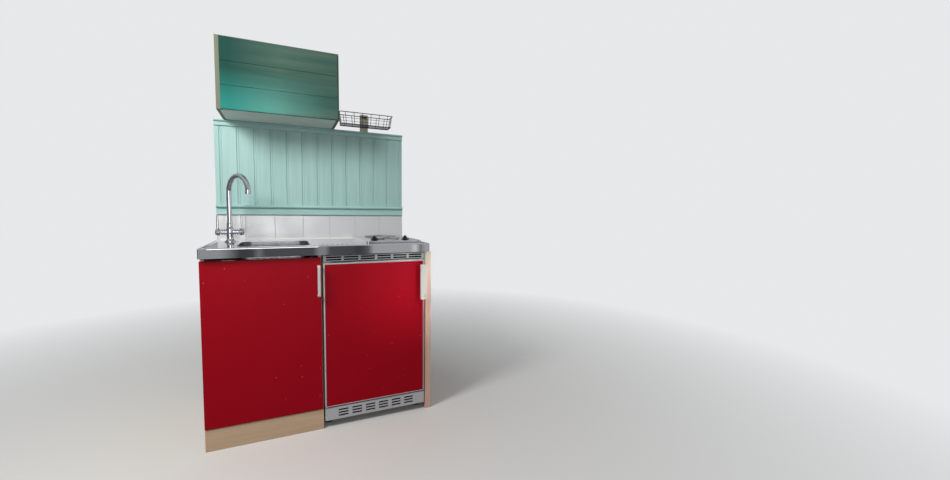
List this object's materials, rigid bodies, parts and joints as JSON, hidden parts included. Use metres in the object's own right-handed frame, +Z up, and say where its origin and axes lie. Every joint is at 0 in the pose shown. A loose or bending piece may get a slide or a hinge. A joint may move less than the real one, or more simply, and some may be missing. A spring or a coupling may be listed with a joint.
{
  "type": "fitted kitchenette",
  "caption": "Compact fitted kitchenette: steel sink top with hob over a cupboard and a fridge, with tiled and boarded splashback, wall cupboard and wire rack.",
  "frame": {"origin": "centre of the footprint, on the floor", "axes": "+X to the right along the front, +Y back to the wall, +Z up"},
  "size_m": [1.037, 0.668, 1.905],
  "materials": {
    "worktop_steel": "brushed stainless steel",
    "bowl_steel": "satin stainless steel",
    "chrome": "polished chrome plating",
    "hob_steel": "brushed stainless steel",
    "plate_iron": "black coated cast iron",
    "black_plastic": "black moulded plastic",
    "white_plastic": "white moulded plastic",
    "chipboard": "board core, coated",
    "beech_board": "beech veneer, satin lacquer",
    "white_board": "white painted board",
    "hinge_steel": "nickel plated steel",
    "red_laminate": "deep red satin laminate",
    "cream_plastic": "cream white moulded plastic",
    "fridge_enamel": "white enamel",
    "grey_plastic": "light grey moulded plastic",
    "foot_rubber": "dark rubber",
    "shelf_glass": "clear toughened glass",
    "ice_box_metal": "anodised aluminium",
    "black_steel": "black enamel",
    "gasket_rubber": "grey soft rubber",
    "pine": "sawn softwood",
    "white_tile": "white glaze",
    "pale_teal_paint": "pale teal satin paint",
    "dark_teal_paint": "dark teal satin paint",
    "rack_wire": "dark pewter coating"
  },
  "bodies": {
    "kitchenette": {"worktop_sheet": "worktop_steel", "worktop_core": "chipboard", "sink_bowl": "bowl_steel", "sink_waste": "white_plastic", "tap_body": "chrome", "hob_plate": "hob_steel", "hot_plates": "plate_iron", "cupboard_sides": "beech_board", "cupboard_floor": "white_board", "cupboard_back": "white_board", "cupboard_rails": "white_board", "cupboard_hinge_arms": "hinge_steel", "plinth_board": "beech_board", "fridge_cabinet": "fridge_enamel", "fridge_top_grille": "grey_plastic", "fridge_plinth_grille": "grey_plastic", "fridge_feet": "foot_rubber", "fridge_hinges": "hinge_steel", "fridge_shelves": "shelf_glass", "fridge_ice_box": "ice_box_metal", "fridge_cooling_unit": "black_steel", "end_panel": "beech_board", "battens": "pine", "tile_splashback": "white_tile", "matchboards": "pale_teal_paint", "dado_rail": "pale_teal_paint", "cap_rail": "pale_teal_paint", "wall_cupboard_sides": "white_board", "wall_cupboard_decks": "white_board", "wall_cupboard_back": "white_board", "wall_cupboard_door": "dark_teal_paint", "bottle_rack": "rack_wire"},
    "cupboard_leaf": {"cupboard_door": "red_laminate", "cupboard_door_handle": "cream_plastic", "cupboard_hinge_cups": "hinge_steel"},
    "fridge_leaf": {"fridge_door_frame": "grey_plastic", "fridge_door_panel": "red_laminate", "fridge_door_liner": "white_plastic", "fridge_door_gasket": "gasket_rubber", "fridge_door_handle": "cream_plastic"},
    "spout": {"tap_spout": "chrome"},
    "hot_lever": {"tap_lever_hot": "chrome"},
    "cold_lever": {"tap_lever_cold": "chrome"},
    "left_knob": {"hob_knob_left": "black_plastic"},
    "right_knob": {"hob_knob_right": "black_plastic"}
  },
  "joints": [
    {"name": "cupboard_door_hinge", "type": "hinge", "parent": "kitchenette", "child": "cupboard_leaf", "pos_m": [-0.5195, -0.2715, 0.4725], "axis": [0, 0, -1], "range_deg": [0, 95]},
    {"name": "fridge_door_hinge", "type": "hinge", "parent": "kitchenette", "child": "fridge_leaf", "pos_m": [-0.011, -0.2815, 0.45825], "axis": [0, 0, -1], "range_deg": [0, 90]},
    {"name": "spout_swivel", "type": "hinge", "parent": "kitchenette", "child": "spout", "pos_m": [-0.4425, 0.15, 0.971], "axis": [0, 0, 1], "range_deg": [-60, 40]},
    {"name": "hot_lever_turn", "type": "hinge", "parent": "kitchenette", "child": "hot_lever", "pos_m": [-0.4425, 0.15, 0.947], "axis": [1, 0, 0], "range_deg": [0, 90]},
    {"name": "cold_lever_turn", "type": "hinge", "parent": "kitchenette", "child": "cold_lever", "pos_m": [-0.4425, 0.15, 0.947], "axis": [1, 0, 0], "range_deg": [0, 90]},
    {"name": "left_knob_turn", "type": "hinge", "parent": "kitchenette", "child": "left_knob", "pos_m": [0.2565, -0.12, 0.918], "axis": [0, 0, 1], "range_deg": [0, 270]},
    {"name": "right_knob_turn", "type": "hinge", "parent": "kitchenette", "child": "right_knob", "pos_m": [0.4245, -0.12, 0.918], "axis": [0, 0, 1], "range_deg": [0, 270]}
  ]
}
